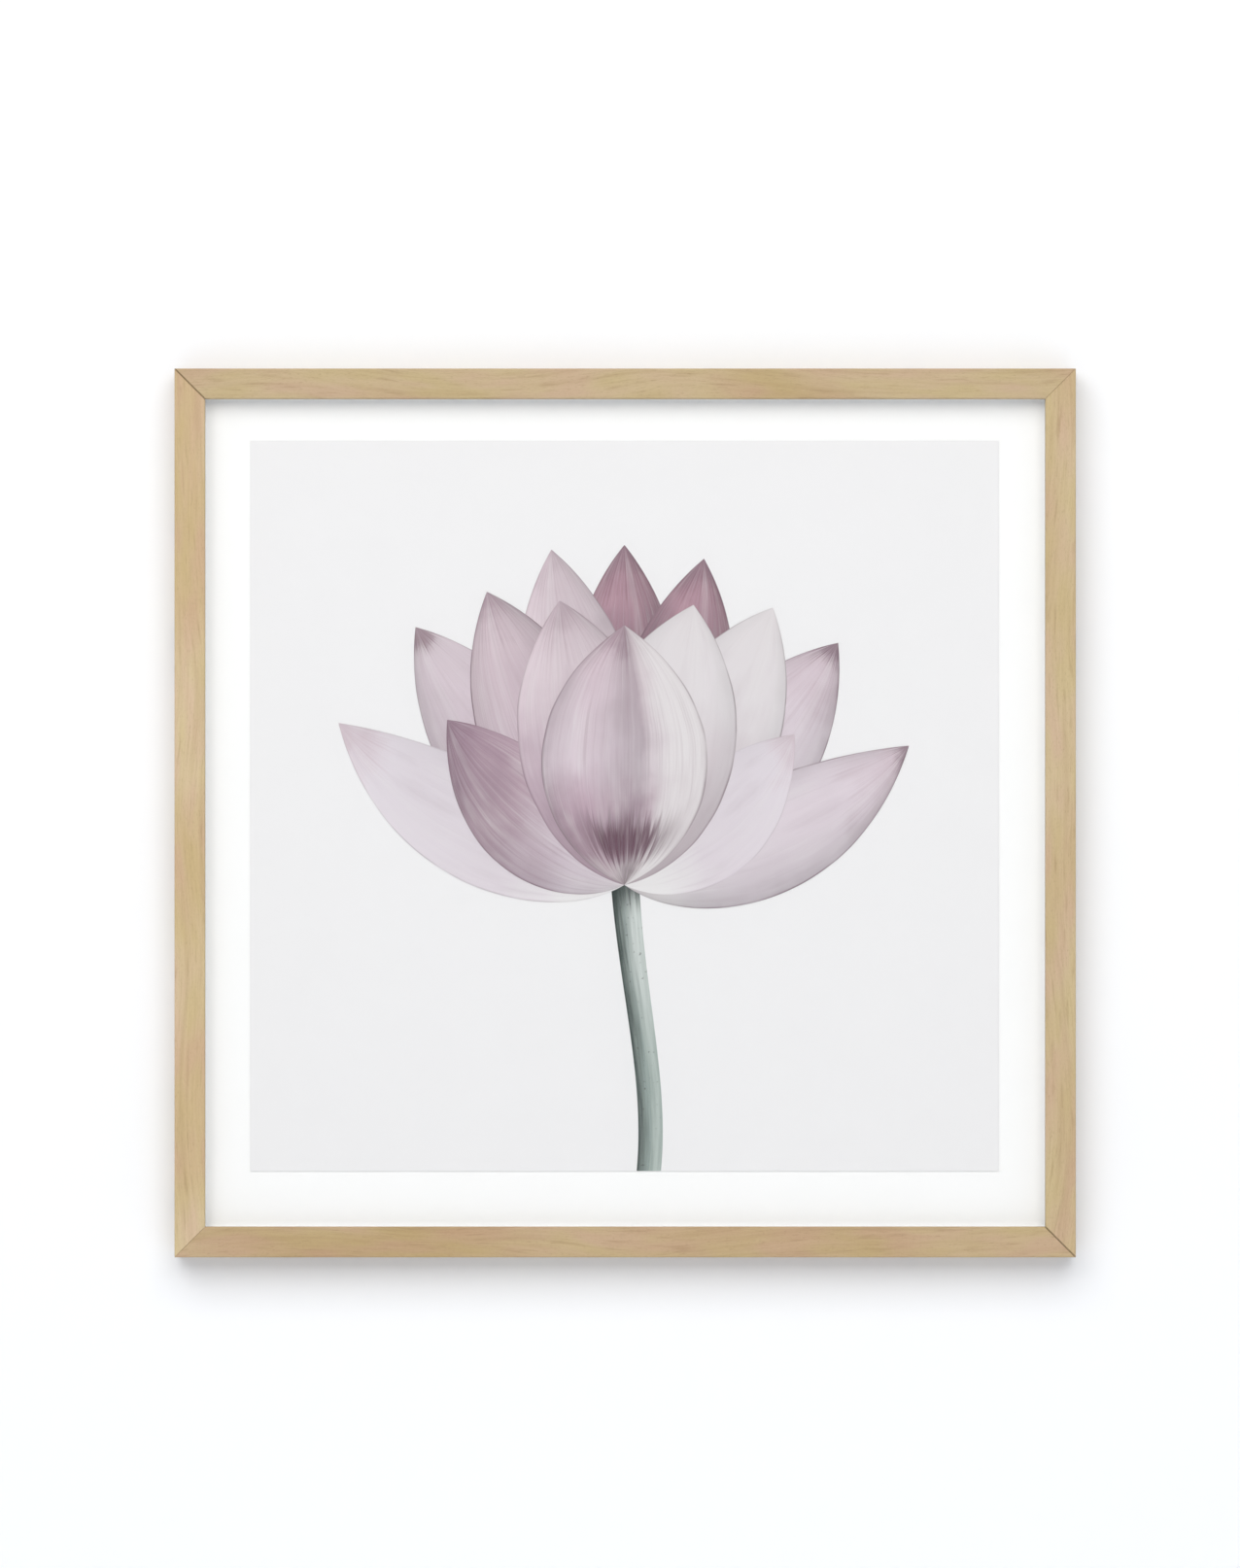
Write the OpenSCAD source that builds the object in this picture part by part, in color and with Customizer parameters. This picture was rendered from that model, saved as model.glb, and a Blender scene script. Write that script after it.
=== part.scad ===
// Float-mounted picture in a glazed oak box frame.
// +X is to the right, +Z is up, and the frame's face looks along -Y.
// The origin is the centre of the whole object's bounding box.

/* [Frame] */
// Outside width of the frame
frame_w = 592; // [480:2:800]
// Outside height of the frame
frame_h = 584; // [480:2:800]
// Width of the moulding's front face
face_w = 20; // [19:1:30]
// How far the front lip reaches over the glazing
rabbet_w = 6; // [5.5:0.5:6.5]
// Thickness of the front lip
lip_t = 6; // [5:1:12]
// Radius of the moulding's front arrises
arris_r = 1; // [0.5:0.1:1.5]

/* [Picture pack] */
// Thickness of the clear glazing
glazing_t = 2; // [1.5:0.5:3]
// Depth of the spacers that keep the glazing off the picture
spacer_d = 4; // [4:1:14]
// Width of the spacers
spacer_w = 4.5; // [3:0.5:4.5]
// Thickness of the white mount board behind the print
mount_board_t = 3; // [1.5:0.5:3]
// Thickness of the foam-core board
foam_t = 5; // [3:1:10]
// Thickness of the fibreboard back
backing_t = 4; // [3:1:6]
// Bare board to the left of the print
margin_left = 29; // [15:0.5:60]
// Bare board to the right of the print
margin_right = 30; // [15:0.5:60]
// Bare board above the print
margin_top = 27; // [15:0.5:60]
// Bare board below the print
margin_bottom = 36; // [15:0.5:60]
// Thickness of the hidden card riser that the print floats on
riser_t = 0.2; // [0.2:0.1:2]

/* [Hardware] */
// Distance between the two turn buttons on one rail
button_spacing = 380; // [200:10:400]
// Reach of a turn button from its screw to its tip
button_reach = 22; // [18:1:26]
// Height of the ring hangers' hinges above the middle of the frame
hanger_z = 112; // [60:2:140]
// Thickness of the wall bumpers
bumper_h = 4; // [4:0.5:8]

/* [Hidden] */

$fn = 48;
big = 100;                    // size of a cutting block

// Depths, measured back from the frame's front face
glazing_at = lip_t;
spacer_at = glazing_at + glazing_t;
mount_board_at = spacer_at + spacer_d;
foam_at = mount_board_at + mount_board_t;
backing_at = foam_at + foam_t;
rail_d = backing_at + backing_t;
print_t = 0.3;
hinge_t = 0.1;
riser_at = mount_board_at - riser_t;
print_at = riser_at - hinge_t - print_t;

total_d = rail_d + bumper_h;
front_y = -total_d / 2;
back_y = front_y + rail_d;

// Sizes across the frame
wall_t = face_w - rabbet_w;   // wood between the rabbet and the outer edge
sheet_clearance = 0.75;       // each side of every sheet in the rabbet
sheet_w = frame_w - 2 * (wall_t + sheet_clearance);
sheet_h = frame_h - 2 * (wall_t + sheet_clearance);
print_w = frame_w - 2 * face_w - margin_left - margin_right;
print_h = frame_h - 2 * face_w - margin_top - margin_bottom;
print_x = (margin_left - margin_right) / 2;
print_z = (margin_bottom - margin_top) / 2;
riser_inset = 30;             // riser edge to print edge
hinge_size = [30, 24];
hinge_x = 0.3 * print_w;

// Moulding details
ease = 0.4;                   // small chamfers at the moulding's back edges
mitre_gap = 0.03;             // from each rail's end to the mitre's plane
// Each corner's signs of x and z, and the side of the square V groove along its mitre
CORNERS = [[1, -1, 0.7], [1, 1, 0.35], [-1, 1, 0.7], [-1, -1, 0.35]];

// V nails, driven from the back across each mitre
nail_leg = 5.5;
nail_t = 0.6;
nail_depth = 12;
nail_half_angle = 55;
nail_sink = 0.3;
nail_places = [7, 14];        // along the mitre from the outer corner

// Wood screws
shank_r = 1.5;
head_r = 3.3;
head_h = 1.9;
screw_l = 14;
pilot_gap = 0.05;
cross_w = 0.8;
cross_l = 3.8;
cross_d = 1.2;

// Turn buttons
button_t = 1.2;
button_r = 4.6;
button_tip_r = 3.4;
button_lift = 0.1;            // running gap under and over the button
bore_gap = 0.06;
rib = [1.6, 10, 0.5];
screw_in = wall_t / 2;        // screws stand in the middle of the wood behind

// Ring hangers
hanger_x = frame_w / 2 - wall_t / 2 - 1.5;
ring_wire_r = 0.95;
loop_r = ring_wire_r + 0.08;
strap_t = 0.9;
strap_w = 9;
strap_l = 30;
strap_fold_l = 26;
strap_screw_z = -19;
loop_y = loop_r + strap_t;    // height of the ring's hinge above the wood
ring_half_w = 7.05;
ring_elbow_r = 1.6;
ring_leg = 4;
ring_lean = 4;                // degrees that the raised ring leans on the wood

// Wall bumpers
bumper_r = 5.5;
bumper_z = -frame_h / 2 + 34;

// ---------------------------------------------------------------- helpers

// Points of an arc about c from angle a to angle b
function arc(c, r, a, b, n = 8) =
  [for (i = [0 : n]) c + r * [cos(a + (b - a) * i / n), sin(a + (b - a) * i / n)]];

// A flat sheet w by h and t thick, whose front is at depth d, centred on x and z
module sheet(w, h, t, d, x = 0, z = 0) {
  translate([x - w / 2, front_y + d, z - h / 2]) cube([w, t, h]);
}

// Puts a rail's local frame in place: X along the rail, Y back, Z in from its outer edge
module on_side(i) {
  turn = [0, -90, 180, 90][i];
  offset_x = [0, 1, 0, -1][i] * frame_w / 2;
  offset_z = [-1, 0, 1, 0][i] * frame_h / 2;
  translate([offset_x, front_y, offset_z]) rotate([0, turn, 0]) children();
}

// Puts +X along the mitre, from the outer corner inwards
module at_corner(i) {
  sx = CORNERS[i][0];
  sz = CORNERS[i][1];
  translate([sx * frame_w / 2, front_y, sz * frame_h / 2])
    rotate([0, atan2(sz, -sx), 0]) children();
}

// On the back of side i, with +Z out of the wood and +Y towards the rail's outer edge
module on_back(i, along) {
  on_side(i) translate([along, rail_d, screw_in]) rotate([-90, 0, 0]) children();
}

// At a hanger's hinge, level with the wood: X right, Y out of the back, Z up
module at_hanger(sx) {
  translate([sx * hanger_x, back_y, hanger_z]) children();
}

// ---------------------------------------------------------------- rails

// Section of the moulding: first number is depth, second is distance from the outer edge
module moulding() {
  polygon(concat(
    arc([arris_r, arris_r], arris_r, 270, 180),
    arc([arris_r, face_w - arris_r], arris_r, 180, 90),
    [[lip_t - ease, face_w], [lip_t, face_w - ease], [lip_t, wall_t]],
    [[rail_d - ease, wall_t], [rail_d, wall_t - ease], [rail_d, ease], [rail_d - ease, 0]]
  ));
}

// Everything past the 45 degree plane at one end of a rail
module mitre_cut(end_x) {
  translate([end_x - mitre_gap * sqrt(2), -1, 0]) rotate([0, -45, 0])
    translate([0, 0, -big]) cube([big, rail_d + 2, 2 * big]);
}

module rail(i) {
  length = i % 2 == 0 ? frame_w : frame_h;
  previous = (i + 3) % 4;
  color("burlywood") difference() {
    on_side(i) difference() {
      rotate([90, 0, 90]) linear_extrude(length, center = true) moulding();
      mitre_cut(length / 2);
      mirror([1, 0, 0]) mitre_cut(length / 2);
    }
    for (c = [i, previous]) {
      v_nails_at(c);
      at_corner(c) mitre_groove(CORNERS[c][2]);
    }
    for (s = [-1, 1]) on_back(i, s * button_spacing / 2) pilot_hole();
    if (i == 1) at_hanger(1) strap_screw_place() pilot_hole();
    if (i == 3) at_hanger(-1) strap_screw_place() pilot_hole();
  }
}

// Fine V groove along the front of a mitre
module mitre_groove(side) {
  translate([-1, 0, 0]) rotate([45, 0, 0])
    translate([0, -side / 2, -side / 2]) cube([2 * face_w, side, side]);
}

// ---------------------------------------------------------------- fasteners

// One folded strip with its legs in the two rails
module v_nail() {
  leg = nail_leg * [cos(nail_half_angle), sin(nail_half_angle)];
  back = [nail_t / sin(nail_half_angle), 0];
  rotate([90, 0, 0]) linear_extrude(nail_depth)
    polygon([[0, 0], leg, leg + back, back, [leg[0], -leg[1]] + back, [leg[0], -leg[1]]]);
}

module v_nails_at(c) {
  for (s = nail_places) at_corner(c) translate([s, rail_d - nail_sink, 0]) v_nail();
}

module corner_v_nails() {
  color("darkgray") for (c = [0 : 3]) v_nails_at(c);
}

// A pan-head screw: z = 0 is the wood, and its head sits on a surface at height seat
module wood_screw(seat) {
  color("silver") difference() {
    rotate_extrude() polygon(concat(
      [[0, -screw_l], [shank_r, -screw_l + 4], [shank_r, seat], [head_r, seat]],
      [[head_r, seat + 0.5]],
      arc([head_r - 1.4, seat + 0.5], 1.4, 0, 90, 6),
      [[0, seat + head_h]]
    ));
    for (a = [0, 90]) rotate([0, 0, a])
      translate([-cross_l / 2, -cross_w / 2, seat + head_h - cross_d])
        cube([cross_l, cross_w, cross_d + 1]);
  }
}

module pilot_hole() {
  translate([0, 0, -screw_l - 0.5]) cylinder(r = shank_r + pilot_gap, h = screw_l + 2);
}

// ---------------------------------------------------------------- picture pack

module glazing() {
  color("lightcyan", 0.3) sheet(sheet_w, sheet_h, glazing_t, glazing_at);
}

// The bottom and top strips run the full width, and the side strips fit between them
module spacer(i) {
  length = i % 2 == 0 ? sheet_w : sheet_h - 2 * spacer_w;
  color("white") on_side(i)
    translate([-length / 2, spacer_at, wall_t + sheet_clearance])
      cube([length, spacer_d, spacer_w]);
}

module mount_board() {
  color("white") sheet(sheet_w, sheet_h, mount_board_t, mount_board_at);
}

module print_riser() {
  width = print_w - 2 * riser_inset;
  height = print_h - 2 * riser_inset;
  color("whitesmoke") sheet(width, height, riser_t, riser_at, print_x, print_z);
}

module print_hinge(sx) {
  x = print_x + sx * hinge_x;
  z = print_z + print_h / 2 - riser_inset - 4 - hinge_size[1] / 2;
  color("ivory") sheet(hinge_size[0], hinge_size[1], hinge_t, riser_at - hinge_t, x, z);
}

module art_print() {
  color("gainsboro") sheet(print_w, print_h, print_t, print_at, print_x, print_z);
}

module foam_board() {
  color("white") sheet(sheet_w, sheet_h, foam_t, foam_at);
}

module backing_board() {
  color("peru") sheet(sheet_w, sheet_h, backing_t, backing_at);
}

// ---------------------------------------------------------------- turn buttons

module turn_button(i, along) {
  tip = -(button_reach - button_tip_r);
  color("silver") on_back(i, along) translate([0, 0, button_lift]) difference() {
    union() {
      cylinder(r = button_r, h = button_t);
      translate([0, tip, 0]) cylinder(r = button_tip_r, h = button_t);
      linear_extrude(button_t) polygon([
        [-button_r, 0], [-button_tip_r, tip], [button_tip_r, tip], [button_r, 0]
      ]);
      translate([-rib[0] / 2, tip - 0.5, button_t]) cube(rib);
    }
    translate([0, 0, -1]) cylinder(r = shank_r + bore_gap, h = button_t + 3);
  }
}

module turn_button_screws() {
  for (i = [0 : 3], s = [-1, 1])
    on_back(i, s * button_spacing / 2) wood_screw(button_t + 2 * button_lift);
}

// ---------------------------------------------------------------- ring hangers

module strap_screw_place() {
  translate([0, 0, strap_screw_z]) rotate([-90, 0, 0]) children();
}

// One strip folded round the ring's bar, so that it lies double over the screw
module hanger_strap(sx) {
  loop_outer = loop_r + strap_t;
  color("silver") at_hanger(sx) difference() {
    rotate([90, 0, 90]) linear_extrude(strap_w, center = true) difference() {
      union() {
        translate([loop_y, 0]) circle(loop_outer);
        translate([0, -strap_l]) square([strap_t, strap_l]);
        translate([0, -strap_fold_l]) square([2 * strap_t, strap_fold_l]);
        polygon([[0, -5.5], [2 * strap_t, -5.5], [loop_y + 1.5, -1.2], [loop_y, 0], [0, 0]]);
      }
      translate([loop_y, 0]) circle(loop_r);
    }
    strap_screw_place() translate([0, 0, -1]) cylinder(r = shank_r + bore_gap, h = 5);
  }
}

// A wire D: a straight bar, two elbows, two legs and a half-round crown
module d_ring(sx) {
  elbow_x = ring_half_w - ring_elbow_r;
  color("lightgray") at_hanger(sx) translate([0, loop_y, 0]) rotate([ring_lean, 0, 0]) {
    rotate([0, 90, 0]) cylinder(r = ring_wire_r, h = 2 * elbow_x, center = true);
    for (s = [-1, 1]) {
      translate([s * elbow_x, 0, ring_elbow_r]) rotate([90, 0, 0])
        rotate([0, 0, s > 0 ? -90 : 180]) rotate_extrude(angle = 90)
          translate([ring_elbow_r, 0]) circle(ring_wire_r);
      translate([s * ring_half_w, 0, ring_elbow_r])
        cylinder(r = ring_wire_r, h = ring_leg - ring_elbow_r);
    }
    translate([0, 0, ring_leg]) rotate([90, 0, 0]) rotate_extrude(angle = 180)
      translate([ring_half_w, 0]) circle(ring_wire_r);
  }
}

module hanger_screws() {
  for (sx = [-1, 1]) at_hanger(sx) strap_screw_place() wood_screw(2 * strap_t);
}

// ---------------------------------------------------------------- bumpers

module bumper(sx) {
  color("gray") translate([sx * (frame_w / 2 - wall_t / 2), back_y, bumper_z])
    rotate([-90, 0, 0]) rotate_extrude() polygon(concat(
      [[0, 0], [bumper_r, 0], [bumper_r, 0.8]],
      arc([bumper_r - 2.2, bumper_h - 2.2], 2.2, 15, 90, 8),
      [[0, bumper_h]]
    ));
}

// ---------------------------------------------------------------- assembly

rail(0);  // rail_bottom
rail(1);  // rail_right
rail(2);  // rail_top
rail(3);  // rail_left
corner_v_nails();
glazing();
spacer(0);  // spacer_bottom
spacer(1);  // spacer_right
spacer(2);  // spacer_top
spacer(3);  // spacer_left
mount_board();
print_riser();
print_hinge(-1);  // print_hinge_left
print_hinge(1);  // print_hinge_right
art_print();
foam_board();
backing_board();
turn_button(0, -button_spacing / 2);  // turn_button_bottom_left
turn_button(0, button_spacing / 2);  // turn_button_bottom_right
turn_button(1, -button_spacing / 2);  // turn_button_right_lower
turn_button(1, button_spacing / 2);  // turn_button_right_upper
turn_button(2, -button_spacing / 2);  // turn_button_top_right
turn_button(2, button_spacing / 2);  // turn_button_top_left
turn_button(3, -button_spacing / 2);  // turn_button_left_upper
turn_button(3, button_spacing / 2);  // turn_button_left_lower
turn_button_screws();
hanger_strap(-1);  // hanger_strap_left
hanger_strap(1);  // hanger_strap_right
d_ring(-1);  // d_ring_left
d_ring(1);  // d_ring_right
hanger_screws();
bumper(-1);  // bumper_left
bumper(1);  // bumper_right
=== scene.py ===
"""A float-mounted flower print in a glazed oak box frame, hung on a pale wall.

The CAD nodes keep their shapes and get their materials here. The print is built here, as a
sheet of paper with its picture in thin layers of ink. Lengths are in metres, and +Z is up.
"""

import math

import bmesh
import bpy
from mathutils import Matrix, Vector, noise


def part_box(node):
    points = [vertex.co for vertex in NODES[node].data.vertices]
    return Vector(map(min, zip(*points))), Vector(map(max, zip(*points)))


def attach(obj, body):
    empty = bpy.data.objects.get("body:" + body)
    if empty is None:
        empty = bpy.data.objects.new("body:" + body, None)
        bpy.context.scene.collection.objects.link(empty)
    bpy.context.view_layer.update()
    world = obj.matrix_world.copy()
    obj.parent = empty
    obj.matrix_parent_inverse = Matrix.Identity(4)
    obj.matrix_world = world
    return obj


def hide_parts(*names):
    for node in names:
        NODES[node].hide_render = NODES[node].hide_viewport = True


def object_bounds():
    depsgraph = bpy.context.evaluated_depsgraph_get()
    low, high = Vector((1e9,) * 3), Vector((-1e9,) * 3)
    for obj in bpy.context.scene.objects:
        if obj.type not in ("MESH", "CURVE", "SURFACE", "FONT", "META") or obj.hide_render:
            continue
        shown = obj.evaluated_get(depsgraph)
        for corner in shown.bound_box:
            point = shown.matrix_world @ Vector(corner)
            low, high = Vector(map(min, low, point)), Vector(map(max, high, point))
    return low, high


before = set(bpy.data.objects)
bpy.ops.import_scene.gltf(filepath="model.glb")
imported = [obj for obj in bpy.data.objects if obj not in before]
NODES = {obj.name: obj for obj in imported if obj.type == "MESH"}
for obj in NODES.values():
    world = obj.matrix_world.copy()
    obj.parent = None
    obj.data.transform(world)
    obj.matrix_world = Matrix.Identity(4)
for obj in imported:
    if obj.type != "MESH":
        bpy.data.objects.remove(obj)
CAD_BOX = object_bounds()

MM = 0.001
LIGHT = 1.15        # how brightly the front is lit; a white surface just clips at 1
PRINT_LIGHT = 1.06  # the same for the print, down inside the frame
LOW, HIGH = CAD_BOX
FRONT_Y = LOW.y
WALL_Y = HIGH.y
FRAME_W = HIGH.x - LOW.x
FRAME_H = HIGH.z - LOW.z


# ------------------------------------------------------------------ shader helpers


def tone(code, light=1.0):
    """The linear RGBA colour that looks like a hex code such as "CDB897" in this much light."""
    parts = [int(code[i : i + 2], 16) / 255 for i in (0, 2, 4)]
    linear = [c / 12.92 if c <= 0.04045 else ((c + 0.055) / 1.055) ** 2.4 for c in parts]
    return (*[c / light for c in linear], 1.0)


class Shader:
    """The node tree of a new material or world, built by calls that return output sockets."""

    def __init__(self, name, kind="Material"):
        shelf = bpy.data.worlds if kind == "World" else bpy.data.materials
        self.kind = kind
        self.owner = shelf.new(name)
        self.owner.use_nodes = True
        self.tree = self.owner.node_tree
        self.tree.nodes.clear()

    def add(self, kind, inputs, **settings):
        node = self.tree.nodes.new("ShaderNode" + kind)
        for key, value in settings.items():
            setattr(node, key, value)
        for key, value in inputs.items():
            if isinstance(value, bpy.types.NodeSocket):
                self.tree.links.new(value, node.inputs[key])
            else:
                node.inputs[key].default_value = value
        return node

    def place(self, turn=(0, 0, 0), shift=(0, 0, 0)):
        """The point in the object's own frame, turned, and then shifted in millimetres."""
        coords = self.add("TexCoord", {}).outputs["Object"]
        turned = self.add("Mapping", {"Vector": coords, "Rotation": turn}).outputs[0]
        inputs = {"Vector": turned, "Scale": [1 / MM] * 3, "Location": shift}
        return self.add("Mapping", inputs).outputs[0]

    def stretch(self, vector, scale):
        return self.add("Mapping", {"Vector": vector, "Scale": scale}).outputs[0]

    def grains(self, vector, size):
        """vector, divided by size each way, so that noise of it has grains that large."""
        return self.stretch(vector, [1 / size] * 3)

    def split(self, vector):
        return self.add("SeparateXYZ", {"Vector": vector}).outputs

    def join(self, x, y, z=0.0):
        return self.add("CombineXYZ", {"X": x, "Y": y, "Z": z}).outputs[0]

    def scaled(self, u, v, u_scale, v_scale):
        return self.join(self.math("MULTIPLY", u, u_scale), self.math("MULTIPLY", v, v_scale))

    def noise(self, vector, detail=3.0, roughness=0.5, distortion=0.0):
        """Noise from 0 to 1 that changes about once in each unit of vector."""
        inputs = {"Vector": vector, "Scale": 1.0, "Detail": detail}
        inputs.update({"Roughness": roughness, "Distortion": distortion})
        return self.add("TexNoise", inputs).outputs["Fac"]

    def math(self, operation, *values, clamp=False):
        inputs = dict(enumerate(values))
        return self.add("Math", inputs, operation=operation, use_clamp=clamp).outputs[0]

    def span(self, value, low, high, to_low=0.0, to_high=1.0, smooth=False):
        """value, carried from low..high to to_low..to_high and held at both ends."""
        inputs = {"Value": value, "From Min": low, "From Max": high}
        inputs.update({"To Min": to_low, "To Max": to_high})
        kind = "SMOOTHSTEP" if smooth else "LINEAR"
        return self.add("MapRange", inputs, interpolation_type=kind).outputs[0]

    def ramp(self, value, stops):
        node = self.add("ValToRGB", {"Fac": value})
        band = node.color_ramp
        while len(band.elements) < len(stops):
            band.elements.new(0.5)
        for element, (place, colour) in zip(band.elements, stops):
            element.position = place
            element.color = colour
        return node.outputs["Color"]

    def tones(self, value, stops, light=1.0):
        """A ramp whose colours are hex codes, as they look in this much light."""
        return self.ramp(value, [(place, tone(code, light)) for place, code in stops])

    def blend(self, share, first, second, mode="MIX"):
        node = self.add("Mix", {}, data_type="RGBA", blend_type=mode)
        by_id = {socket.identifier: socket for socket in node.inputs}
        given = (("Factor_Float", share), ("A_Color", first), ("B_Color", second))
        for key, value in given:
            if isinstance(value, bpy.types.NodeSocket):
                self.tree.links.new(value, by_id[key])
            else:
                by_id[key].default_value = value
        return next(s for s in node.outputs if s.identifier == "Result_Color")

    def bump(self, height, depth, strength=1.0):
        inputs = {"Height": height, "Distance": depth, "Strength": strength}
        return self.add("Bump", inputs).outputs["Normal"]

    def surface(self, colour, roughness, normal=None, **fixed):
        """A Principled surface, wired to the output. fixed holds plain values by socket name."""
        inputs = {"Base Color": colour, "Roughness": roughness}
        inputs.update({key.replace("_", " "): value for key, value in fixed.items()})
        if normal:
            inputs["Normal"] = normal
        shader = self.add("BsdfPrincipled", inputs)
        return self.output(shader.outputs["BSDF"])

    def output(self, socket):
        self.add("Output" + self.kind, {"Surface": socket})
        return self.owner


def dimmed(colour, share):
    """The colour with this share of its light."""
    return (*[min(1.0, c * share) for c in colour[:3]], 1.0)


def dress(material, *names):
    """Gives CAD nodes a material in place of their plain ones."""
    for name in names:
        mesh_object = NODES[name]
        mesh_object.data.materials.clear()
        mesh_object.data.materials.append(material)


# ------------------------------------------------------------------ materials


def oak(name, along_z, cut, light, warm):
    """Pale oiled oak, with its grain along X or Z.

    cut is where on the plank this rail was cut, in millimetres. light and warm tint it.
    """
    s = Shader(name)
    turn = (0, math.pi / 2, 0) if along_z else (0, 0, 0)
    p = s.place(turn=turn, shift=cut)

    # The grain drifts a little from the rail's own line
    length, depth, across = s.split(p)
    drift = s.noise(s.stretch(p, (1 / 170, 1 / 60, 1 / 60)), detail=0)
    level = s.math("ADD", across, s.span(drift, 0.2, 0.8, -9, 9))
    q = s.join(length, level, depth)

    def figure(long, wide, deep, **kind):
        """One part of the figure, in marks of so many millimetres."""
        return s.noise(s.stretch(q, (1 / long, 1 / wide, 1 / deep)), **kind)

    slow = figure(120, 50, 50, detail=0)
    patches = figure(42, 11, 15, detail=1)
    rings = figure(85, 3.6, 7, detail=2, roughness=0.4)
    streaks = figure(34, 1.5, 1.5, detail=3, roughness=0.55)
    flames = figure(24, 2.2, 5, detail=1)
    fibres = figure(16, 0.30, 0.30, detail=2)
    dashes = figure(7, 0.55, 0.55, detail=1)
    pores = figure(2.4, 0.16, 0.16, detail=0)

    # The colour changes slowly along the rail, and each mark adds its own on top
    hues = ((0, "D6C297"), (0.5, "D8C29D"), (1, "D9BEA0"))
    colour = s.tones(s.span(patches, 0.34, 0.66), hues, LIGHT)
    colour = s.blend(s.span(slow, 0.36, 0.64), colour, (0.91, 0.86, 0.79, 1), "MULTIPLY")
    for marks, none, most, share, code, smooth in (
        (rings, 0.50, 0.76, 0.26, "B59872", True),
        (streaks, 0.50, 0.78, 0.20, "B3946C", False),
        (streaks, 0.48, 0.26, 0.20, "DFC9A4", False),
        (flames, 0.58, 0.76, 0.30, "A98C66", True),
        (fibres, 0.50, 0.75, 0.18, "A68A63", False),
        (dashes, 0.66, 0.76, 0.32, "9A7C56", False),
        (pores, 0.66, 0.76, 0.28, "7E6444", False),
    ):
        shown = s.span(marks, none, most, 0, share, smooth)
        colour = s.blend(shown, colour, tone(code, LIGHT))
    colour = s.blend(1.0, colour, (light * warm, light, light / warm, 1), "MULTIPLY")

    # Oil and dust gather in the mitres, most where two of them have opened a little
    x, _, z = s.split(s.place())
    off_mitre = s.math("SUBTRACT", s.math("ABSOLUTE", x), s.math("ABSOLUTE", z))
    off_mitre = s.math("ABSOLUTE", s.math("SUBTRACT", off_mitre, (FRAME_W - FRAME_H) / 2 / MM))
    opened = s.math("LESS_THAN", s.math("MULTIPLY", x, z), 0)
    dirt = s.span(opened, 0, 1, 0.04, 0.55)
    line = s.math("MULTIPLY", s.span(off_mitre, 0.5, 1.0, 1, 0), dirt)
    colour = s.blend(line, colour, tone("6E5638", LIGHT))

    height = s.math("SUBTRACT", s.math("MULTIPLY", fibres, 0.4), s.span(pores, 0.62, 0.76))
    rough = s.span(streaks, 0.3, 0.7, 0.52, 0.64)
    return s.surface(colour, rough, s.bump(height, 0.04 * MM, 0.6), Specular_IOR_Level=0.35)


def clear_acrylic():
    s = Shader("clear_acrylic")
    see = s.add("BsdfTransparent", {"Color": (0.998, 0.999, 0.999, 1)}).outputs[0]
    gloss = s.add("BsdfGlossy", {"Roughness": 0.03}).outputs[0]
    share = s.add("Fresnel", {"IOR": 1.49}).outputs[0]
    both = s.add("MixShader", {0: s.math("MULTIPLY", share, 0.2), 1: see, 2: gloss}).outputs[0]
    return s.output(both)


def paper(name, colour, tooth, roughness=0.9):
    """Uncoated board or paper. tooth is the size of its surface grain, in millimetres."""
    s = Shader(name)
    p = s.place()
    grain = s.noise(s.grains(p, tooth), detail=4, roughness=0.6)
    clouds = s.noise(s.grains(p, 38), detail=2)
    shade = s.blend(s.span(clouds, 0.35, 0.65, 0, 0.3), colour, dimmed(colour, 0.985))
    shade = s.blend(s.span(grain, 0.35, 0.7, 0, 0.3), shade, dimmed(colour, 0.97))
    return s.surface(shade, roughness, s.bump(grain, 0.04 * MM, 0.5))


def fibreboard():
    """Smooth fibreboard: felted fibres, pale and dark flecks every way, and a faint mottle."""
    s = Shader("fibreboard")
    p = s.place()
    felt = s.noise(s.grains(p, 3), detail=6, roughness=0.8)
    mottle = s.noise(s.grains(p, 16), detail=3)
    hues = ((0, "BC9A6F"), (0.5, "A98860"), (1, "8C6E4A"))
    colour = s.tones(s.span(felt, 0.3, 0.7), hues)
    for degrees in (15, 62, 105, 148):
        along = s.place(turn=(0, math.radians(degrees), 0), shift=(degrees, 0, 0))
        flecks = s.noise(s.stretch(along, (1 / 5, 1 / 2, 1 / 1.1)), detail=2, distortion=0.6)
        colour = s.blend(s.span(flecks, 0.62, 0.74, 0, 0.4), colour, tone("7A5E3D"))
        colour = s.blend(s.span(flecks, 0.38, 0.26, 0, 0.4), colour, tone("D0B48A"))
    colour = s.blend(s.span(mottle, 0.4, 0.7, 0, 0.25), colour, tone("93734E"))
    return s.surface(colour, 0.68, s.bump(felt, 0.05 * MM, 0.6))


def plated_steel(name, colour, rough_low, rough_high):
    """Nickel or zinc plate on pressed steel: faint rolling lines, smudges and small pits."""
    s = Shader(name)
    p = s.place()
    lines = s.noise(s.stretch(p, (1 / 0.25, 1 / 0.25, 1 / 6)), detail=2)
    smudges = s.noise(s.grains(p, 4), detail=3)
    pits = s.noise(s.grains(p, 0.35), detail=2)
    shade = s.blend(s.span(smudges, 0.35, 0.7, 0, 0.35), colour, dimmed(colour, 0.8))
    shade = s.blend(s.span(pits, 0.62, 0.75, 0, 0.4), shade, dimmed(colour, 0.55))
    rough = s.span(s.math("ADD", lines, smudges), 0.7, 1.3, rough_low, rough_high)
    return s.surface(shade, rough, s.bump(lines, 0.015 * MM, 0.4), Metallic=1.0)


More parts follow.
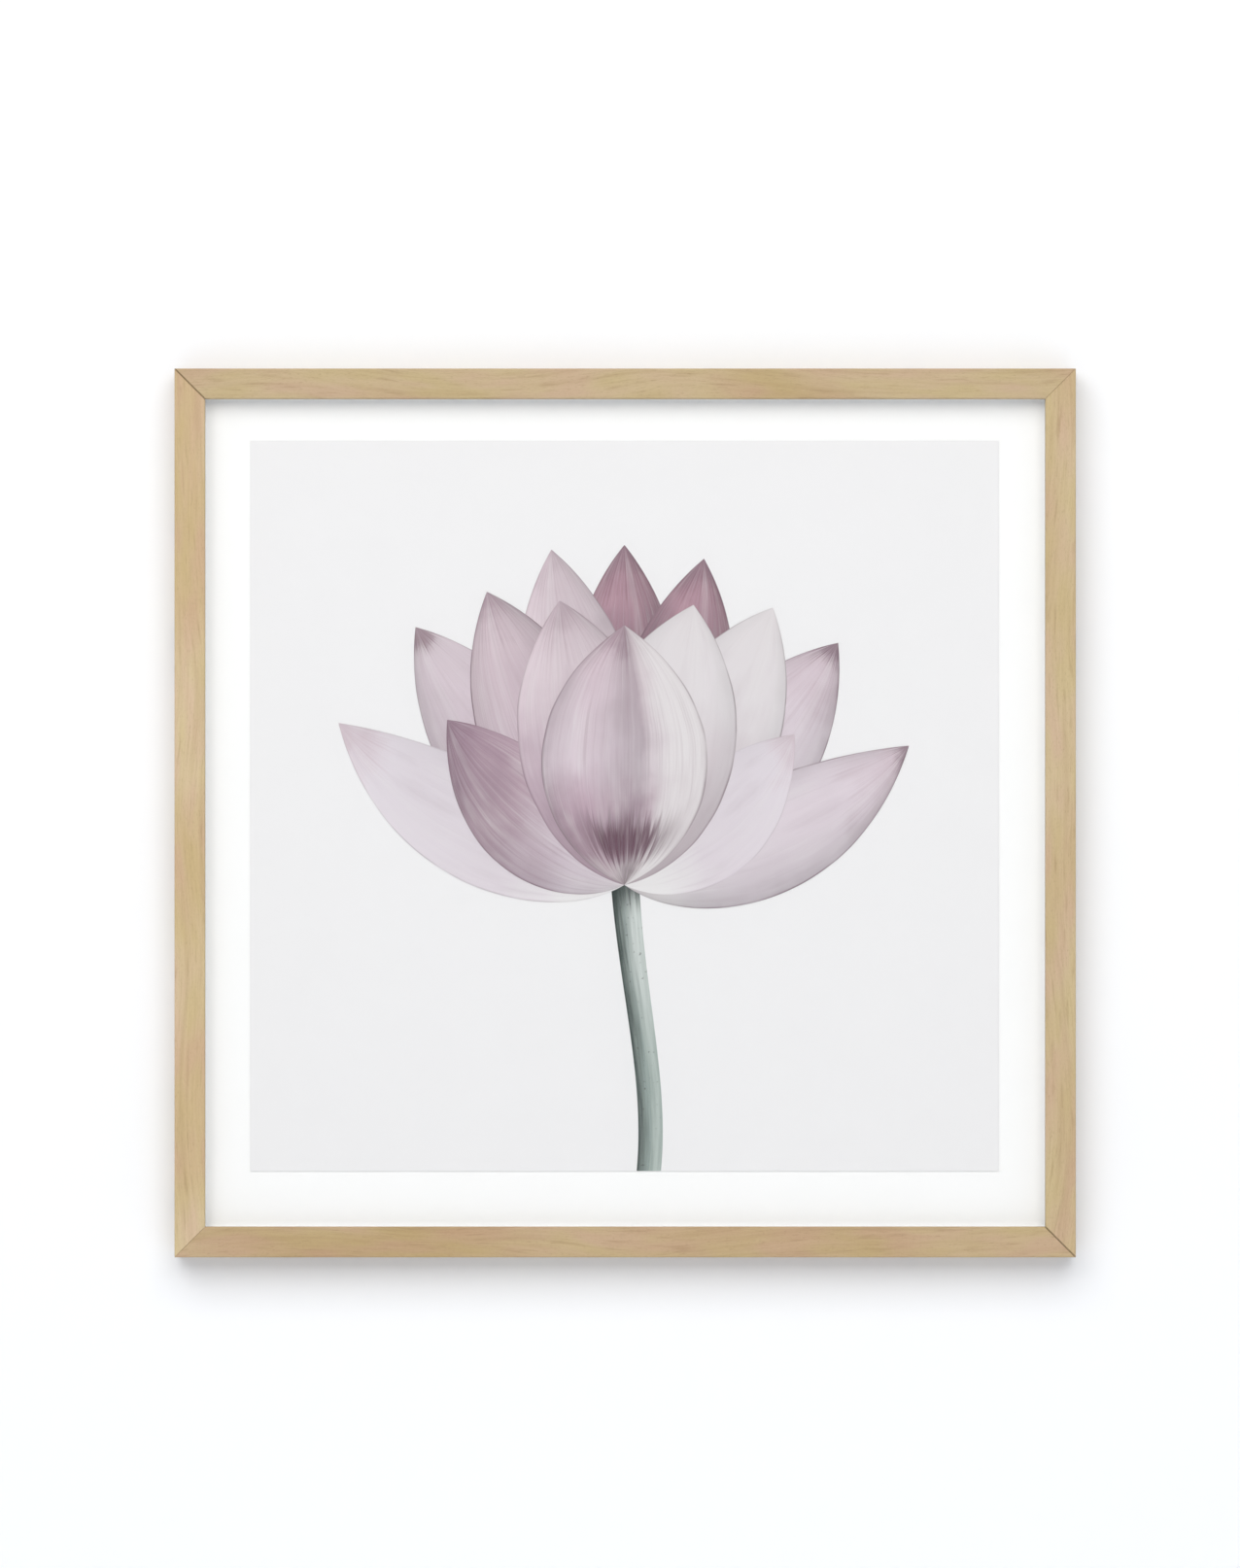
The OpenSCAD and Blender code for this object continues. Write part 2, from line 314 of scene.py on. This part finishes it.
def moulded(name, colour, roughness, grain):
    """Rubber or plastic with a fine moulded grain, in millimetres."""
    s = Shader(name)
    p = s.place()
    fine = s.noise(s.grains(p, grain), detail=2)
    dust = s.noise(s.grains(p, 2.5), detail=3)
    shade = s.blend(s.span(dust, 0.5, 0.8, 0, 0.3), colour, dimmed(colour, 1.35))
    rough = s.span(dust, 0.3, 0.7, roughness - 0.08, roughness + 0.08)
    return s.surface(shade, rough, s.bump(fine, 0.02 * MM, 0.5))


# Each rail's grain along Z or not, where on the plank it was cut, and how light and warm it is
RAILS = {
    "bottom": (False, (100, 6, 11), 0.83, 1.04),
    "right": (True, (310, 3, 4), 0.94, 1.00),
    "top": (False, (-240, -5, 2), 0.86, 1.01),
    "left": (True, (305, 9, -6), 1.03, 0.99),
}


def dress_cad_nodes():
    for side, wood in RAILS.items():
        dress(oak("oak_" + side, *wood), "rail_" + side)
    dress(clear_acrylic(), "glazing")
    dress(paper("museum_board", tone("FAFBFC"), 0.5), "mount_board")
    dress(paper("riser_paper", tone("F2F1EE"), 0.4), "print_riser")
    dress(paper("foam_board_paper", tone("F0F0EE"), 0.4), "foam_board")
    dress(paper("hinge_tissue", tone("E9E6DC"), 0.8), "print_hinge_left", "print_hinge_right")
    dress(fibreboard(), "backing_board")
    spacers = ["spacer_" + side for side in RAILS]
    dress(moulded("spacer_plastic", tone("F0F0EE"), 0.6, 0.3), *spacers)
    nickel = plated_steel("nickel_plate", tone("C9C6BF"), 0.22, 0.42)
    buttons = [n for n in NODES if n.startswith("turn_button_") and n != "turn_button_screws"]
    dress(nickel, *buttons, "hanger_strap_left", "hanger_strap_right")
    dress(plated_steel("ring_nickel", tone("D2D0CA"), 0.15, 0.3), "d_ring_left", "d_ring_right")
    zinc = plated_steel("zinc_plate", tone("C6C9CE"), 0.2, 0.38)
    dress(zinc, "turn_button_screws", "hanger_screws")
    dress(plated_steel("v_nail_steel", tone("8F9194"), 0.35, 0.5), "corner_v_nails")
    dress(moulded("bumper_rubber", tone("4A4B4D"), 0.7, 0.25), "bumper_left", "bumper_right")


dress_cad_nodes()


# ------------------------------------------------------------------ the print

SHEET_LOW, SHEET_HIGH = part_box("art_print")
SHEET_X = (SHEET_LOW.x + SHEET_HIGH.x) / 2
SHEET_Z = (SHEET_LOW.z + SHEET_HIGH.z) / 2
SHEET_W = (SHEET_HIGH.x - SHEET_LOW.x) / MM
SHEET_H = (SHEET_HIGH.z - SHEET_LOW.z) / MM
SHEET_T = (SHEET_HIGH.y - SHEET_LOW.y) / MM

# The picture, in millimetres from the middle of the print
INK_T = 0.02               # thickness of one layer of ink
INK_GAP = 0.01             # room between two layers
BLOOM = Vector((0, -52))   # where all the petals meet
PETAL_RIPPLE = 0.8         # how far a petal wavers from side to side
STEM_HALF_W = 8            # half the stem's width at its foot
STEM_FLARE = 1.5           # how much wider each side of it is at its top
STEM_FOOT_X = 16

PALEST = tone("E6E4E5", PRINT_LIGHT)
SHADE = tone("8F7683", PRINT_LIGHT)
DARKEST = tone("6A4F5C", PRINT_LIGHT)

INKS = {
    "far": dict(
        along=((0, "9A8492"), (0.45, "BAA9B4"), (0.75, "D6CAD2"), (0.95, "D3C8CE"), (1, "9E8C92")),
        across=((0, 0.98), (0.3, 1.0), (0.55, 1.02), (0.8, 0.90), (1, 0.72)),
        veins=0.6,
    ),
    "tall": dict(
        along=(
            (0, "BDB0B8"),
            (0.16, "C0B1BA"),
            (0.28, "93798A"),
            (0.5, "C6B6C0"),
            (0.85, "D0C1C8"),
            (1, "AE9AA3"),
        ),
        across=((0, 0.66), (0.12, 0.82), (0.35, 0.98), (0.7, 1.06), (1, 0.86)),
        band=(0.27, 0.75),
        edge=0.85,
    ),
    "deep": dict(
        along=((0, "6F5863"), (0.7, "8E7480"), (0.86, "B08F9B"), (1, "8A6A76")),
        across=((0, 0.86), (0.3, 1.08), (0.6, 1.0), (1, 0.62)),
        edge=0.9,
        tip=0.6,
    ),
    "inner": dict(
        along=((0, "8F7A86"), (0.5, "BBA9B4"), (0.8, "D8CCD2"), (1, "CDBEC5")),
        across=((0, 0.74), (0.2, 0.92), (0.6, 1.0), (1, 1.1)),
        veins=0.8,
    ),
    "bright": dict(
        along=((0, "B4A8AE"), (0.5, "D2CBCF"), (0.75, "E2DFE1"), (1, "E2DFE0")),
        across=((0, 0.90), (0.25, 1.0), (0.8, 1.0), (1, 0.86)),
        veins=0.25,
        tip=0.1,
    ),
    "wing": dict(
        along=(
            (0, "D6D1D3"),
            (0.15, "DEDCDD"),
            (0.4, "DAD3D9"),
            (0.75, "DCD3DA"),
            (0.93, "CDBEC6"),
            (1, "8A7680"),
        ),
        across=((0, 0.84), (0.12, 0.95), (0.35, 1.04), (0.6, 1.0), (0.82, 0.88), (1, 0.70)),
        veins=0.3,
        edge=0.7,
        tip=0.3,
    ),
    "droop": dict(
        along=((0, "E7E7E7"), (0.2, "E5E5E5"), (0.45, "DCD6DC"), (0.85, "DFDAE0"), (1, "D8CBD2")),
        across=((0, 0.95), (0.3, 1.0), (0.7, 1.02), (1, 1.04)),
        veins=0.25,
        edge=0.3,
        tip=0.2,
    ),
    "fold": dict(
        along=((0, "DEDADD"), (0.3, "D1C6CF"), (0.65, "B5A0AB"), (1, "8F7585")),
        across=((0, 1.1), (0.25, 1.06), (0.7, 0.95), (1, 0.80)),
    ),
    "front": dict(
        along=(
            (0, "8B7E82"),
            (0.10, "BDB3B7"),
            (0.2, "A8939E"),
            (0.36, "BAA5B1"),
            (0.55, "D2C6CE"),
            (0.85, "CFC0C8"),
            (1, "B29CA6"),
        ),
        across=(
            (0, 0.80),
            (0.08, 0.96),
            (0.22, 1.10),
            (0.36, 1.0),
            (0.50, 0.80),
            (0.60, 0.76),
            (0.68, 0.98),
            (0.85, 1.1),
            (1, 1.0),
        ),
        band=(0.25, 1.0),
        lit=(0.68, 0.8),
        veins=1.1,
    ),
}

# Each petal's lean from upright in degrees, its length and half width in millimetres, how far
# its tip turns back up as a share of its length, and its ink. From back to front.
PETALS = [
    (0, 224, 40, 0.00, "deep"),
    (-14, 226, 42, 0.03, "inner"),
    (16, 221, 41, 0.04, "deep"),
    (-43, 218, 43, 0.07, "far"),
    (46, 212, 44, 0.08, "wing"),
    (-69, 214, 38, 0.15, "droop"),
    (73, 206, 38, 0.16, "wing"),
    (-28, 213, 45, 0.05, "tall"),
    (31, 207, 46, 0.05, "bright"),
    (-55, 158, 38, 0.14, "fold"),
    (57, 148, 35, 0.15, "droop"),
    (-14, 192, 48, 0.02, "inner"),
    (15, 190, 50, 0.02, "bright"),
    (0, 171, 56, 0.00, "front"),
]


def flower_ink(name, along, across, band=(0.2, 0.0), lit=(0.7, 0.0), veins=1.0, edge=0.6, tip=0.4):
    """Ink of one petal. Its UVs run from base to tip, and across from its first edge.

    along is its colour from base to tip, and across how light it is from edge to edge. band is
    a dark patch of fine streaks: how far along it is, and how dark. lit is where across the
    petal the light begins to fall on its far side, and how much of it does. veins, edge and tip
    say how strong the streaks, the dark outline and the dark tip are.
    """
    s = Shader(name)
    u, v, _ = s.split(s.add("UVMap", {}, uv_map="petal").outputs[0])
    p = s.place()
    smear = s.noise(s.grains(p, 30), detail=3)
    wash = s.noise(s.scaled(u, v, 3.5, 7), detail=3)
    combed = s.noise(s.scaled(u, v, 1.1, 22), detail=4, roughness=0.65)
    fine = s.noise(s.scaled(u, v, 2.6, 90), detail=2)
    comb = s.span(combed, 0.3, 0.7, -0.06, 0.06)
    bent = s.span(smear, 0.3, 0.7, -0.06, 0.06)

    length = s.math("ADD", s.math("ADD", u, comb), bent)
    colour = s.tones(length, along, PRINT_LIGHT)
    shades = [(place, (light, light * 0.985, light, 1)) for place, light in across]
    lightness = s.ramp(s.math("ADD", v, s.math("MULTIPLY", bent, 0.8)), shades)
    colour = s.blend(1.0, colour, lightness, "MULTIPLY")
    lit_edge = s.math("ADD", s.math("ADD", v, s.math("MULTIPLY", comb, 0.6)), bent)
    lit_share = s.span(lit_edge, lit[0] - 0.08, lit[0] + 0.14, 0.0, lit[1], smooth=True)
    colour = s.blend(lit_share, colour, PALEST)

    # A dark patch, ragged along the veins
    ragged = s.math("ADD", u, s.math("MULTIPLY", comb, 1.4))
    from_band = s.math("ABSOLUTE", s.math("SUBTRACT", ragged, band[0]))
    off_middle = s.math("ABSOLUTE", s.math("SUBTRACT", v, 0.52))
    patch = s.span(from_band, 0.02, 0.13, band[1], 0.0, smooth=True)
    patch = s.math("MULTIPLY", patch, s.span(off_middle, 0.16, 0.46, 1.0, 0.1, smooth=True))
    patch = s.math("MULTIPLY", patch, s.span(combed, 0.35, 0.6, 0.5, 1.2), clamp=True)
    colour = s.blend(patch, colour, DARKEST)

    # Veins, stronger here and fainter there, over a soft wash
    strength = s.span(wash, 0.35, 0.65, 0.35, 1.0)
    for streaks, low, high, share, shade in (
        (combed, 0.52, 0.72, 0.34, SHADE),
        (combed, 0.46, 0.30, 0.40, PALEST),
        (fine, 0.52, 0.74, 0.26, SHADE),
        (fine, 0.46, 0.28, 0.22, PALEST),
    ):
        vein = s.math("MULTIPLY", s.span(streaks, low, high, 0, share * veins), strength)
        colour = s.blend(vein, colour, shade)
    colour = s.blend(s.span(wash, 0.5, 0.75, 0, 0.3), colour, PALEST)
    colour = s.blend(s.span(wash, 0.45, 0.25, 0, 0.12), colour, SHADE)

    # Darker edges and tip
    side = s.math("MULTIPLY", s.math("ABSOLUTE", s.math("SUBTRACT", v, 0.5)), 2)
    rim = s.span(side, 0.965, 0.995, 0.0, edge)
    rim = s.math("MULTIPLY", rim, s.span(smear, 0.35, 0.6, 0.4, 1.0))
    colour = s.blend(rim, colour, DARKEST)
    colour = s.blend(s.span(length, 0.88, 1.04, 0.0, tip, smooth=True), colour, SHADE)
    grain = s.noise(s.grains(p, 0.5), detail=2)
    return s.surface(colour, 0.85, s.bump(grain, 0.02 * MM, 0.4))


def stem_ink():
    """Ink of the stem: grey-green, dark along its first edge and under the bloom."""
    s = Shader("ink_stem")
    u, v, _ = s.split(s.add("UVMap", {}, uv_map="petal").outputs[0])
    streak = s.noise(s.scaled(u, v, 5, 9), detail=3)
    wavy = s.math("ADD", v, s.span(streak, 0.3, 0.7, -0.12, 0.12))
    low = ((0, "4C5553"), (0.13, "6C7673"), (0.45, "93A09C"), (0.8, "B7C2BE"), (1, "A3B0AC"))
    high = ((0, "39413F"), (0.13, "5B6562"), (0.4, "9CA6A3"), (0.75, "D3DAD8"), (1, "BCC5C2"))
    low, high = (s.tones(wavy, stops, PRINT_LIGHT) for stops in (low, high))
    colour = s.blend(s.span(u, 0.35, 0.8, smooth=True), low, high)
    top = s.math("ADD", u, s.span(streak, 0.3, 0.7, -0.03, 0.03))
    shadow = s.span(top, 0.86, 0.97, 0, 0.85, smooth=True)
    colour = s.blend(shadow, colour, tone("2C3533", PRINT_LIGHT))
    dots = s.noise(s.grains(s.place(), 2.2), detail=1)
    colour = s.blend(s.span(dots, 0.7, 0.76, 0, 0.5), colour, tone("4A4845", PRINT_LIGHT))
    return s.surface(colour, 0.85)


def on_print(x, z, level):
    """The point x, z from the middle of the print, and level in front of it, in millimetres."""
    return Vector((SHEET_X + x * MM, SHEET_LOW.y - level * MM, SHEET_Z + z * MM))


def slab(outline, back, front, rows, columns):
    """The points, faces and UVs of a thin closed layer that lies on the print.

    outline(u, v) gives its points in millimetres from the print's middle, where u and v run
    from 0 to 1. back and front are its two levels.
    """
    shares = [(i / rows, j / columns) for i in range(rows + 1) for j in range(columns + 1)]
    points = [on_print(*outline(u, v), level) for level in (front, back) for u, v in shares]
    side, skin = columns + 1, len(shares)
    faces = []
    for i in range(rows):
        for j in range(columns):
            a = i * side + j
            b = a + skin
            faces.append((a, a + 1, a + side + 1, a + side))
            faces.append((b, b + side, b + side + 1, b + 1))
    rim = list(range(columns))
    rim += [i * side + columns for i in range(rows)]
    rim += [rows * side + j for j in range(columns, 0, -1)]
    rim += [i * side for i in range(rows, 0, -1)]
    for a, b in zip(rim, rim[1:] + rim[:1]):
        faces.append((a, a + skin, b + skin, b))
    return points, faces, shares * 2


def make_object(name, vertices, faces, materials):
    mesh = bpy.data.meshes.new(name)
    mesh.from_pydata(vertices, [], faces)
    made = bpy.data.objects.new(name, mesh)
    bpy.context.scene.collection.objects.link(made)
    for material in materials:
        mesh.materials.append(material)
    return made


def weld(made):
    """Merges the points that meet in one place, and turns every face outwards."""
    shape = bmesh.new()
    shape.from_mesh(made.data)
    bmesh.ops.remove_doubles(shape, verts=shape.verts, dist=0.0001 * MM)
    bmesh.ops.recalc_face_normals(shape, faces=shape.faces)
    shape.to_mesh(made.data)
    shape.free()


def art_sheet():
    def outline(u, v):
        return (u - 0.5) * SHEET_W, (v - 0.5) * SHEET_H

    points, faces, _ = slab(outline, -SHEET_T, 0, 24, 24)
    material = paper("cotton_paper", tone("F2F2F4", PRINT_LIGHT), 0.35)
    sheet = make_object("art_sheet", points, faces, [material])
    weld(sheet)
    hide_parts("art_print")
    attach(sheet, "frame")


def cubic(a, b, c, d, t):
    return a * (1 - t) ** 3 + b * 3 * t * (1 - t) ** 2 + c * 3 * t**2 * (1 - t) + d * t**3


def petal_outline(lean, length, width, curl):
    """A pointed petal that starts where they all meet. Its first edge is its upper one."""
    side = -1 if lean < 0 else 1
    angle = math.radians(abs(lean))
    along = Vector((math.sin(angle), math.cos(angle)))
    upward = Vector((-along.y, along.x))

    def place(share, off):
        point = along * (share * length) + upward * off
        return BLOOM + Vector((side * point.x, point.y))

    # Each edge is one curve that is full near its base and drawn in towards the tip
    sag = curl * length / 4
    edges = []
    for way in (1, -1):
        edges.append((place(0.16, way * 1.15 * width), place(0.68, way * 1.45 * width - sag)))
    tip = place(1.0, curl * length)

    def outline(u, v):
        first, second = (cubic(BLOOM, low, high, tip, u) for low, high in edges)
        ripple = PETAL_RIPPLE * noise.noise(Vector((u * 9, lean, length)))
        point = first.lerp(second, v) + Vector((ripple, 0)) * math.sin(math.pi * u)
        return point.x, point.y

    return outline


def stem_outline(u, v):
    """A gently bent stem, from just above the sheet's lower edge to behind the petals."""
    foot = Vector((STEM_FOOT_X, -SHEET_H / 2 + 0.2))
    top = BLOOM + Vector((0, 8))
    centre = cubic(foot, Vector((22, -180)), Vector((4, -120)), top, u)
    half = STEM_HALF_W + STEM_FLARE * u**3
    return centre.x + (v - 0.5) * 2 * half, centre.y


def printed_flower():
    """The picture on the sheet: a generic open lotus on a bare stem."""
    materials = {ink: flower_ink("ink_" + ink, **look) for ink, look in INKS.items()}
    materials["stem"] = stem_ink()
    slots = list(materials)
    layers = [(stem_outline, "stem", 48, 8)]
    layers += [(petal_outline(*shape), ink, 72, 24) for *shape, ink in PETALS]

    vertices, faces, coords, inks = [], [], [], []
    for number, (outline, ink, rows, columns) in enumerate(layers):
        back = INK_GAP + (INK_T + INK_GAP) * number
        points, sides, shares = slab(outline, back, back + INK_T, rows, columns)
        faces += [[len(vertices) + corner for corner in face] for face in sides]
        inks += [slots.index(ink)] * len(sides)
        vertices += points
        coords += shares

    flower = make_object("printed_flower", vertices, faces, materials.values())
    layer = flower.data.uv_layers.new(name="petal")
    for loop in flower.data.loops:
        layer.data[loop.index].uv = coords[loop.vertex_index]
    for polygon, slot in zip(flower.data.polygons, inks):
        polygon.material_index = slot
    weld(flower)
    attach(flower, "frame")


art_sheet()
printed_flower()


# ------------------------------------------------------------------ wall, light and camera

DISTANCE = 4.5                         # from the camera to the frame's front
CAMERA_X = -3.4 * MM                   # the camera is a little left of the frame's middle
CAMERA_Z = 19 * MM                     # and a little above it
FRAME_SHARE = 0.567                    # the frame's share of the picture's height
VIEW_HEIGHT = FRAME_H / FRAME_SHARE    # height of the picture at the frame's front
BACKDROP = (0.92, 0.92, 0.92, 1)       # how bright the room looks beyond the wall
WALL_HALF = 1.3
WALL_GAP = 0.2 * MM                    # from the bumpers to the wall
WALL_TUCK = 3 * MM                     # how far the wall reaches in behind the frame
FLOOR_Z = -1.45
FLOOR_HALF = 14


def wall_paint():
    s = Shader("wall_paint")
    shade = s.add("BsdfDiffuse", {"Color": (0.90, 0.92, 0.955, 1)}).outputs[0]
    clear = s.add("BsdfTransparent", {}).outputs[0]
    back = s.add("NewGeometry", {}).outputs["Backfacing"]
    return s.output(s.add("MixShader", {0: back, 1: shade, 2: clear}).outputs[0])


def floor_paint():
    """White paint, which looks evenly lit however far the lamps reach."""
    s = Shader("floor_paint")
    shade = s.add("BsdfDiffuse", {"Color": (0.82, 0.82, 0.82, 1)}).outputs[0]
    glow = s.add("Emission", {"Color": BACKDROP, "Strength": 1.0}).outputs[0]
    share = s.math("MULTIPLY", s.add("LightPath", {}).outputs["Is Camera Ray"], 0.7)
    return s.output(s.add("MixShader", {0: share, 1: shade, 2: glow}).outputs[0])


def rectangle(half_x, half_y):
    return [(-half_x, -half_y), (half_x, -half_y), (half_x, half_y), (-half_x, half_y)]


def wall():
    """A pale wall just behind the bumpers, open behind the frame, and clear from its back."""
    outer = rectangle(WALL_HALF, WALL_HALF)
    inner = rectangle(FRAME_W / 2 - WALL_TUCK, FRAME_H / 2 - WALL_TUCK)
    vertices = [(x, WALL_Y + WALL_GAP, z) for x, z in outer + inner]
    faces = [(i, (i + 1) % 4, 4 + (i + 1) % 4, 4 + i) for i in range(4)]
    make_object("wall", vertices, faces, [wall_paint()])


def floor():
    vertices = [(x, y, FLOOR_Z) for x, y in rectangle(FLOOR_HALF, FLOOR_HALF)]
    make_object("floor", vertices, [(0, 1, 2, 3)], [floor_paint()])


def area_light(name, place, width, height, power):
    """A lamp that lights the frame's middle, and that neither camera nor glazing shows."""
    data = bpy.data.lights.new(name, "AREA")
    data.shape = "RECTANGLE"
    data.size = width
    data.size_y = height
    data.energy = power
    lamp = bpy.data.objects.new(name, data)
    bpy.context.scene.collection.objects.link(lamp)
    lamp.location = place
    lamp.rotation_euler = (-Vector(place)).to_track_quat("-Z", "Y").to_euler()
    lamp.visible_camera = False
    lamp.visible_glossy = False
    return lamp


def lights():
    key = area_light("key", (-0.4, -4.3, 2.8), width=6.4, height=4.2, power=215)
    key.data.color = (1.06, 1.01, 0.93)
    rear = area_light("rear", (2.4, 3.2, 2.2), width=2.0, height=2.0, power=100)
    rear.visible_glossy = True


def room():
    """Soft cool light from all round, which the camera sees as a plain pale grey."""
    s = Shader("room", "World")
    light = s.add("Background", {"Color": (0.93, 0.99, 1.08, 1), "Strength": 0.51}).outputs[0]
    shown = s.add("Background", {"Color": BACKDROP, "Strength": 1.0}).outputs[0]
    seen = s.add("LightPath", {}).outputs["Is Camera Ray"]
    both = s.add("MixShader", {0: seen, 1: light, 2: shown}).outputs[0]
    bpy.context.scene.world = s.output(both)


def camera():
    data = bpy.data.cameras.new("camera")
    data.sensor_width = 36.0
    data.lens = data.sensor_width * DISTANCE / VIEW_HEIGHT
    made = bpy.data.objects.new("camera", data)
    bpy.context.scene.collection.objects.link(made)
    made.location = (CAMERA_X, FRONT_Y - DISTANCE, CAMERA_Z)
    made.rotation_euler = (math.pi / 2, 0, 0)
    bpy.context.scene.camera = made


wall()
floor()
lights()
room()
camera()
bpy.context.scene.view_settings.view_transform = "Standard"
